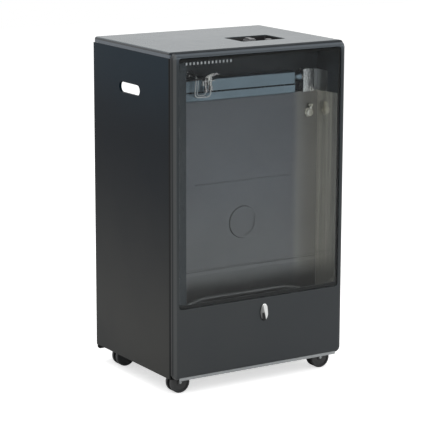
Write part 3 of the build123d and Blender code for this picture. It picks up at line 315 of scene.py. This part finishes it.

# painted light on the front frame: a lighter colour for the highlights on the rolled side edges, a near-black
# one for the shade in the seams against the side panels
paintedRollHighlight, paintedSeamShade = (0.046, 0.048, 0.048), (0.003, 0.0035, 0.004)
frontPaint = dict(
    # lighter at the foot than at the top: a painted reflection
    basePaint, footColour=(0.022, 0.024, 0.025), topColour=(0.007, 0.011, 0.013), specular=0.42,
    matt={"low": 0.7262, "high": 0.7278, "more": 0.6},
    # painted light, in order: a bluish painted sheen above the window, a lighter painted sheen on the
    # recessed flange behind the glass, two lighter painted sheen bands on the rolled top edge, painted shade
    # in the seam under the lid, painted highlights on the rolled side edges, painted shade in the side seams
    edges=[
        {"low": 0.7, "high": 0.728, "waver": 0.004, "share": 1.0, "colour": (0.036, 0.046, 0.056)},
        {"along": (0.0, 1.0, 1.0), "low": 0.5475, "high": 0.5495, "share": 1.0, "colour": (0.11, 0.13, 0.15)},
        {"low": 0.7187, "high": 0.7202, "share": 1.0, "colour": (0.03, 0.038, 0.045)},
        {"low": 0.7225, "high": 0.7245, "share": 1.0, "colour": (0.05, 0.06, 0.071)},
        {"low": 0.7262, "high": 0.7278, "share": 1.0, "colour": (0.005, 0.007, 0.009)},
        {"along": alongX, "low": -0.2060, "high": -0.2095, "share": 0.9, "colour": paintedRollHighlight},
        {"along": alongX, "low": 0.2085, "high": 0.2115, "share": 0.2, "colour": paintedRollHighlight},
        {"along": alongX, "low": -0.2130, "high": -0.2144, "share": 1.0, "colour": paintedSeamShade},
        {"along": alongX, "low": 0.2130, "high": 0.2144, "share": 1.0, "colour": paintedSeamShade}])

lidPaint = dict(
    basePaint, footColour=(0.016, 0.034, 0.043), topColour=(0.016, 0.034, 0.043), specular=0.6,
    cloudColour=(0.011, 0.026, 0.034), roughLow=0.235, roughHigh=0.25, dust=0.1,
    matt={"along": alongY, "low": -0.1490, "high": -0.1515, "more": 0.7},
    # painted light on the lid: painted shade in the seam along the front edge, and on the lip a painted dark
    # line under the top edge with a lighter, bluish painted reflection below it
    edges=[
        {"along": alongY, "low": -0.1490, "high": -0.1515, "share": 1.0, "colour": (0.004, 0.006, 0.008)},
        {"low": 0.7290, "high": 0.7280, "share": 1.0, "colour": (0.003, 0.005, 0.008)},
        {"low": 0.7255, "high": 0.7243, "share": 1.0, "colour": (0.09, 0.105, 0.125)}])

dress(nodesWith("side_paint"), paintFinish("charcoalSidePaint", basePaint))
dress(nodesWith("rear_paint"), paintFinish("charcoalRearPaint", rearPaint))
dress(nodesWith("front_paint"), paintFinish("charcoalFrontPaint", frontPaint))
dress(nodesWith("lid_paint"), paintFinish("charcoalLidPaint", lidPaint))


# sheet metal and fittings that aren't painted

galvanisedLook = {"stretch": (90.0, 90.0, 40.0), "smudgeScale": 30.0, "streak": 0.4, "smudge": 0.4,
                  "colour": (0.3, 0.315, 0.32), "streakColour": (0.42, 0.435, 0.44),
                  "smudgeColour": (0.24, 0.25, 0.26), "roughLow": 0.32, "roughHigh": 0.44,
                  "smudgeRough": 0.08, "metallic": 0.9, "bump": 0.06, "bumpDepth": 0.0001, "fades": []}

reflectorLook = {"stretch": (30.0, 30.0, 400.0), "smudgeScale": 7.0, "streak": 0.3, "smudge": 0.3,
                 "colour": (0.142, 0.146, 0.158), "streakColour": (0.17, 0.175, 0.19),
                 "smudgeColour": (0.12, 0.12, 0.13), "roughLow": 0.3, "roughHigh": 0.38,
                 "smudgeRough": 0.06, "metallic": 1.0, "bump": 0.02, "bumpDepth": 0.0001,
                 # painted light on the back: a lighter painted band on the lower part, a warm painted
                 # reflection of the right wall towards the right, and painted shade along the bottom
                 "fades": [{"low": 0.46, "high": 0.27, "waver": 0.04, "share": 0.9,
                            "colour": (0.168, 0.168, 0.17)},
                           {"along": alongX, "low": 0.122, "high": 0.146, "waver": 0.006,
                            "share": 0.75, "colour": (0.26, 0.25, 0.235)},
                           {"low": 0.262, "high": 0.195, "waver": 0.012, "share": 0.8,
                            "colour": (0.112, 0.112, 0.108)}]}

wallLook = dict(reflectorLook, stretch=(30.0, 95.0, 1.5), streak=1.0, colour=(0.5, 0.48, 0.42),
                streakColour=(0.78, 0.74, 0.65), smudgeColour=(0.44, 0.42, 0.37), roughLow=0.12,
                roughHigh=0.22, metallic=0.85,
                # painted light on the polished wall: lighter towards the bottom, a painted reflection, and
                # darker at its rear end, painted shade
                fades=[{"low": 0.3, "high": 0.2, "waver": 0.01, "share": 0.8, "colour": (0.61, 0.58, 0.5)},
                       {"along": alongY, "low": -0.0905, "high": -0.0875, "share": 0.75,
                        "colour": (0.1, 0.095, 0.085)}])

burnerLook = dict(reflectorLook, colour=(0.2, 0.26, 0.3), streakColour=(0.26, 0.32, 0.37),
                  smudgeColour=(0.15, 0.18, 0.2), stretch=(14.0, 200.0, 400.0),
                  fades=[{"along": alongX, "low": -0.09, "high": -0.19, "waver": 0.03, "share": 0.8,
                          "colour": (0.11, 0.135, 0.15)}])

brightLook = dict(reflectorLook, colour=(0.62, 0.62, 0.61), streakColour=(0.75, 0.75, 0.74),
                  smudgeColour=(0.45, 0.45, 0.44), stretch=(200.0, 200.0, 60.0), roughLow=0.18,
                  roughHigh=0.28, fades=[])

railLook = dict(brightLook, stretch=(20.0, 300.0, 300.0), colour=(0.14, 0.142, 0.14),
                streakColour=(0.19, 0.19, 0.185), smudgeColour=(0.1, 0.1, 0.1), roughLow=0.36,
                roughHigh=0.44)

screwLook = dict(brightLook, colour=(0.7, 0.7, 0.69), roughLow=0.12, roughHigh=0.2)

brassLook = dict(brightLook, colour=(0.62, 0.6, 0.54), streakColour=(0.74, 0.72, 0.66),
                 smudgeColour=(0.5, 0.46, 0.38))

pipeLook = dict(brightLook, colour=(0.5, 0.5, 0.5), streakColour=(0.62, 0.62, 0.62), roughLow=0.25,
                roughHigh=0.34)

valveLook = dict(brightLook, colour=(0.42, 0.42, 0.42), stretch=(300.0, 300.0, 300.0), roughLow=0.42,
                 roughHigh=0.55, bump=0.4)

pilotLook = dict(brightLook, colour=(0.5, 0.48, 0.46), smudgeColour=(0.2, 0.17, 0.2),
                 smudgeScale=60.0, smudge=0.6)

# the oval plate is plain: its fades stand for uneven reflections
badgeLook = dict(brightLook, colour=(0.19, 0.195, 0.19), streakColour=(0.3, 0.3, 0.29),
                 stretch=(120.0, 120.0, 90.0), roughLow=0.1, roughHigh=0.16,
                 fades=[{"low": 0.1595, "high": 0.1565, "share": 0.95, "colour": (0.02, 0.02, 0.02)},
                        {"along": alongX, "low": 0.0045, "high": 0.0025, "share": 0.9,
                         "colour": (0.15, 0.152, 0.15)},
                        {"along": (1.0, 0.0, 0.2355), "low": 0.0458, "high": 0.0482, "share": 1.0,
                         "colour": (0.74, 0.75, 0.74)},
                        {"along": (1.0, 0.0, 0.1), "low": 0.0326, "high": 0.0340, "share": 0.9,
                         "colour": (0.03, 0.03, 0.03)}])

metalLooks = {
    "galvanised": galvanisedLook,
    "reflector_steel": reflectorLook,
    "burner_steel": burnerLook,
    "bright_steel": brightLook,
    "rail_steel": railLook,
    "screw_steel": screwLook,
    "spring_steel": dict(screwLook, smudgeScale=20.0),
    "brass_fitting": brassLook,
    "gas_pipe": pipeLook,
    "valve_body": valveLook,
    "pilot_metal": pilotLook,
    "badge_metal": badgeLook,
    "castor_plate": dict(galvanisedLook, smudgeScale=60.0),
}
for slotName, look in metalLooks.items():
    dress(nodesWith(slotName), metalFinish(finishName(slotName), look))
dress(("reflector_left_wall", "reflector_right_wall"), metalFinish("polishedWall", wallLook))


# black and moulded pieces

mouldedLook = {"grainScale": 900.0, "grain": 0.2, "grainDepth": 0.0002, "cloudScale": 12.0,
               "colour": (0.012, 0.012, 0.013), "cloudColour": (0.018, 0.018, 0.019),
               "dust": 0.1, "dustColour": (0.3, 0.29, 0.27), "roughLow": 0.42, "roughHigh": 0.52}

housingLook = dict(mouldedLook, colour=(0.011, 0.016, 0.02), cloudColour=(0.017, 0.023, 0.028),
                   roughLow=0.5, roughHigh=0.65)

# beside the injector the housing's right rear corner is bare metal, below its upper edge
cornerLook = dict(housingLook, bareColour=(0.44, 0.45, 0.45), bareShine=0.2,
                  bareFrom={"X": (0.1885, 0.1895), "Y": (-0.124, -0.1225), "Z": (0.6615, 0.66)})

mouldedLooks = {
    "dark_strip": housingLook,
    "port_strip": dict(housingLook, colour=(0.01, 0.012, 0.014)),
    "well_plastic": mouldedLook,
    "knob_plastic": dict(mouldedLook, colour=(0.08, 0.082, 0.086), cloudColour=(0.1, 0.102, 0.106),
                         roughLow=0.3, roughHigh=0.36),
    "button_plastic": dict(mouldedLook, colour=(0.05, 0.051, 0.054), roughLow=0.25, roughHigh=0.3),
    "igniter_plastic": mouldedLook,
    "lead_sleeve": dict(mouldedLook, grain=0.1),
    "electrode_ceramic": dict(mouldedLook, colour=(0.62, 0.6, 0.56), cloudColour=(0.7, 0.68, 0.64),
                              roughLow=0.15, roughHigh=0.22, dust=0.0, grain=0.03),
    "castor_hood": mouldedLook,
    "castor_wheel": dict(mouldedLook, colour=(0.022, 0.023, 0.024), cloudColour=(0.03, 0.031, 0.032),
                         grainScale=500.0),
}
for slotName, look in mouldedLooks.items():
    dress(nodesWith(slotName), mouldedFinish(finishName(slotName), look))
dress(nodesWith("dark_housing"), mouldedFinish("housingWithBareCorner", cornerLook))


# woven seal round the glass

sealLook = {"colour": (0.03, 0.03, 0.03), "strandColour": (0.08, 0.08, 0.078), "strands": 420.0,
            "tangle": 1.5, "rough": 0.85, "weave": 0.5, "weaveDepth": 0.0003,
            "fades": [{"low": 0.216, "high": 0.206, "share": 0.8, "colour": (0.085, 0.087, 0.085)}]}
finish, tree, shader = startFinish("wovenSeal")
weave = tree.nodes.new("ShaderNodeTexWave")
weave.bands_direction = "DIAGONAL"
weave.inputs["Scale"].default_value = sealLook["strands"]
weave.inputs["Distortion"].default_value = sealLook["tangle"]
tree.links.new(objectPlace(tree), weave.inputs["Vector"])
woven = blendColour(tree, weave.outputs["Fac"], sealLook["colour"], sealLook["strandColour"])
tree.links.new(applyFades(tree, woven, sealLook["fades"]), shader.inputs["Base Color"])
shader.inputs["Roughness"].default_value = sealLook["rough"]
bumpFrom(tree, shader, weave.outputs["Fac"], sealLook["weave"], sealLook["weaveDepth"])
dress(nodesWith("seal_cord"), finish)


# window glass: clear, with faint wipe marks, and only lightly tinting the light that passes

glassLook = {"tint": (0.78, 0.81, 0.82), "wipedTint": (0.74, 0.77, 0.78), "shade": (0.85, 0.87, 0.87),
             "bend": 1.25, "wipeStretch": (9.0, 9.0, 34.0), "wipeScale": 6.0}
finish, tree, shader = startFinish("windowGlass")
wipe = useGroup(tree, brushedSheet, {"Stretch": glassLook["wipeStretch"],
                                     "Smudge Scale": glassLook["wipeScale"]})
tree.links.new(blendColour(tree, wipe["Smudge"], glassLook["tint"], glassLook["wipedTint"]),
               shader.inputs["Base Color"])
shader.inputs["Roughness"].default_value = 0.0
shader.inputs["Transmission Weight"].default_value = 1.0
shader.inputs["IOR"].default_value = glassLook["bend"]
lampWay = tree.nodes.new("ShaderNodeLightPath")
clear = tree.nodes.new("ShaderNodeBsdfTransparent")
clear.inputs["Color"].default_value = (*glassLook["shade"], 1.0)
either = tree.nodes.new("ShaderNodeMixShader")
tree.links.new(lampWay.outputs["Is Shadow Ray"], either.inputs[0])
tree.links.new(shader.outputs[0], either.inputs[1])
tree.links.new(clear.outputs[0], either.inputs[2])
tree.links.new(either.outputs[0], tree.nodes["Material Output"].inputs["Surface"])
dress(nodesWith("window_glass"), finish)
print("finishes done")


# a row of plain printed dots in the glass's upper left corner

dotRow = {"first": -0.1835, "pitch": 0.0089, "count": 13, "height": 0.7065, "width": 0.004, "tall": 0.0058,
          "thick": 0.00012, "steps": 16, "rounding": 0.5}


def dotMesh(name, row, frontY):
    mesh = bpy.data.meshes.new(name)
    points, faces = [], []
    steps = row["steps"]
    for index in range(row["count"]):
        middle = row["first"] + index * row["pitch"]
        base = len(points)
        for depth in (frontY, frontY - row["thick"]):
            for step in range(steps):
                turn = 2 * math.pi * step / steps
                across, up = [math.copysign(abs(part) ** row["rounding"], part) * size / 2
                              for part, size in ((math.cos(turn), row["width"]),
                                                 (math.sin(turn), row["tall"]))]
                points.append((middle + across, depth, row["height"] + up))
        faces.append([base + steps + step for step in range(steps)])
        faces.append([base + step for step in reversed(range(steps))])
        for step in range(steps):
            after = (step + 1) % steps
            faces.append([base + step, base + after, base + steps + after, base + steps + step])
    mesh.from_pydata(points, [], faces)
    mesh.update()
    dots = bpy.data.objects.new(name, mesh)
    bpy.context.scene.collection.objects.link(dots)
    return dots


inkLook = dict(mouldedLook, colour=(0.17, 0.19, 0.2), cloudColour=(0.24, 0.26, 0.27), dust=0.0, grain=0.05)
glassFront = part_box("glass_pane")[0].y
dots = dotMesh("glassDots", dotRow, glassFront)
dots.data.materials.append(mouldedFinish("paleInk", inkLook))
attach(dots, "cabinet")
print("printed dots done")


# soft strips that close the hairline between the lid and the side panels

gasket = {"outer": 0.2148, "inner": 0.2125, "front": -0.155, "rear": 0.1255, "low": 0.71757, "high": 0.71803}
gasketLook = dict(mouldedLook, dust=0.0, roughLow=0.7, roughHigh=0.8)
stripFaces = ((0, 1, 3, 2), (4, 6, 7, 5), (0, 4, 5, 1), (2, 3, 7, 6), (0, 2, 6, 4), (1, 5, 7, 3))
rubber = mouldedFinish("softRubber", gasketLook)
for name, edges in (("lidGasketLeft", (-gasket["outer"], -gasket["inner"])),
                    ("lidGasketRight", (gasket["inner"], gasket["outer"]))):
    mesh = bpy.data.meshes.new(name)
    mesh.from_pydata([(x, y, z) for x in edges for y in (gasket["front"], gasket["rear"])
                      for z in (gasket["low"], gasket["high"])], [], stripFaces)
    mesh.update()
    mesh.materials.append(rubber)
    strip = bpy.data.objects.new(name, mesh)
    bpy.context.scene.collection.objects.link(strip)
    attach(strip, "cabinet")
print("gaskets done")


# floor and world: both look white to the camera, and light the heater plainly

floorLook = {"half": 6.0, "colour": (0.9, 0.9, 0.9), "lift": 0.6, "rough": 0.9, "specular": 0.1}
bpy.ops.mesh.primitive_grid_add(x_subdivisions=2, y_subdivisions=2, size=2 * floorLook["half"])
floor = bpy.context.object
floor.name = "studioFloor"
finish, tree, shader = startFinish("paleFloor")
shader.inputs["Base Color"].default_value = (*floorLook["colour"], 1.0)
shader.inputs["Roughness"].default_value = floorLook["rough"]
shader.inputs["Specular IOR Level"].default_value = floorLook["specular"]
seen = tree.nodes.new("ShaderNodeLightPath")
lift = tree.nodes.new("ShaderNodeEmission")
tree.links.new(times(tree, seen.outputs["Is Camera Ray"], floorLook["lift"]), lift.inputs["Strength"])
both = tree.nodes.new("ShaderNodeAddShader")
tree.links.new(shader.outputs[0], both.inputs[0])
tree.links.new(lift.outputs[0], both.inputs[1])
tree.links.new(both.outputs[0], tree.nodes["Material Output"].inputs["Surface"])
floor.data.materials.append(finish)

skyLook = {"seen": 1.0, "lighting": 0.55, "colour": (1.0, 1.0, 1.0)}
world = bpy.data.worlds.new("studioWorld")
bpy.context.scene.world = world
world.use_nodes = True
tree = world.node_tree
sky = tree.nodes["Background"]
sky.inputs["Color"].default_value = (*skyLook["colour"], 1.0)
seen = tree.nodes.new("ShaderNodeLightPath")
direct = sums(tree, "MAXIMUM", seen.outputs["Is Camera Ray"], seen.outputs["Is Glossy Ray"])
direct = sums(tree, "MAXIMUM", direct, seen.outputs["Is Transmission Ray"])
glow = spread(tree, direct, fromLow=0.0, fromHigh=1.0, toLow=skyLook["lighting"], toHigh=skyLook["seen"])
tree.links.new(glow, sky.inputs["Strength"])
print("floor and world done")


# soft lamps, all aimed at the middle of the heater

lampAim = (0.0, 0.0, 0.4)
lamps = {
    "keyLamp": {"place": (-1.6, -2.6, 2.6), "size": 3.2, "power": 60.0},
    "fillLamp": {"place": (2.4, -1.8, 1.6), "size": 2.2, "power": 22.0},
    "topLamp": {"place": (0.2, 0.6, 2.8), "size": 2.4, "power": 26.0},
}
for name, lamp in lamps.items():
    data = bpy.data.lights.new(name, "AREA")
    data.energy = lamp["power"]
    data.size = lamp["size"]
    holder = bpy.data.objects.new(name, data)
    holder.location = lamp["place"]
    aim = Vector(lampAim) - holder.location
    holder.rotation_euler = aim.to_track_quat("-Z", "Y").to_euler()
    holder.visible_transmission = False
    bpy.context.scene.collection.objects.link(holder)


# camera at the photograph's viewing angle

cameraLook = {"azimuth": -32.053, "elevation": 12.337, "roll": 0.184, "distance": 4.24327,
              "target": (0.003868, 0.0, 0.329182), "focalPixels": 1930.379, "framePixels": 440,
              "sensor": 36.0, "near": 0.1, "far": 50.0}
data = bpy.data.cameras.new("photoCamera")
data.lens = cameraLook["focalPixels"] / cameraLook["framePixels"] * cameraLook["sensor"]
data.sensor_width = cameraLook["sensor"]
data.clip_start, data.clip_end = cameraLook["near"], cameraLook["far"]
camera = bpy.data.objects.new("photoCamera", data)
bpy.context.scene.collection.objects.link(camera)
turn, rise, roll = [math.radians(cameraLook[label]) for label in ("azimuth", "elevation", "roll")]
back = Vector((math.sin(turn) * math.cos(rise), -math.cos(turn) * math.cos(rise), math.sin(rise)))
camera.location = Vector(cameraLook["target"]) + back * cameraLook["distance"]
aimed = (-back).to_track_quat("-Z", "Y").to_matrix() @ Matrix.Rotation(roll, 3, "Z")
camera.rotation_euler = aimed.to_euler()
bpy.context.scene.camera = camera
print("lamps and camera done")

view = bpy.context.scene.view_settings
view.view_transform = "Standard"

print("scene done")
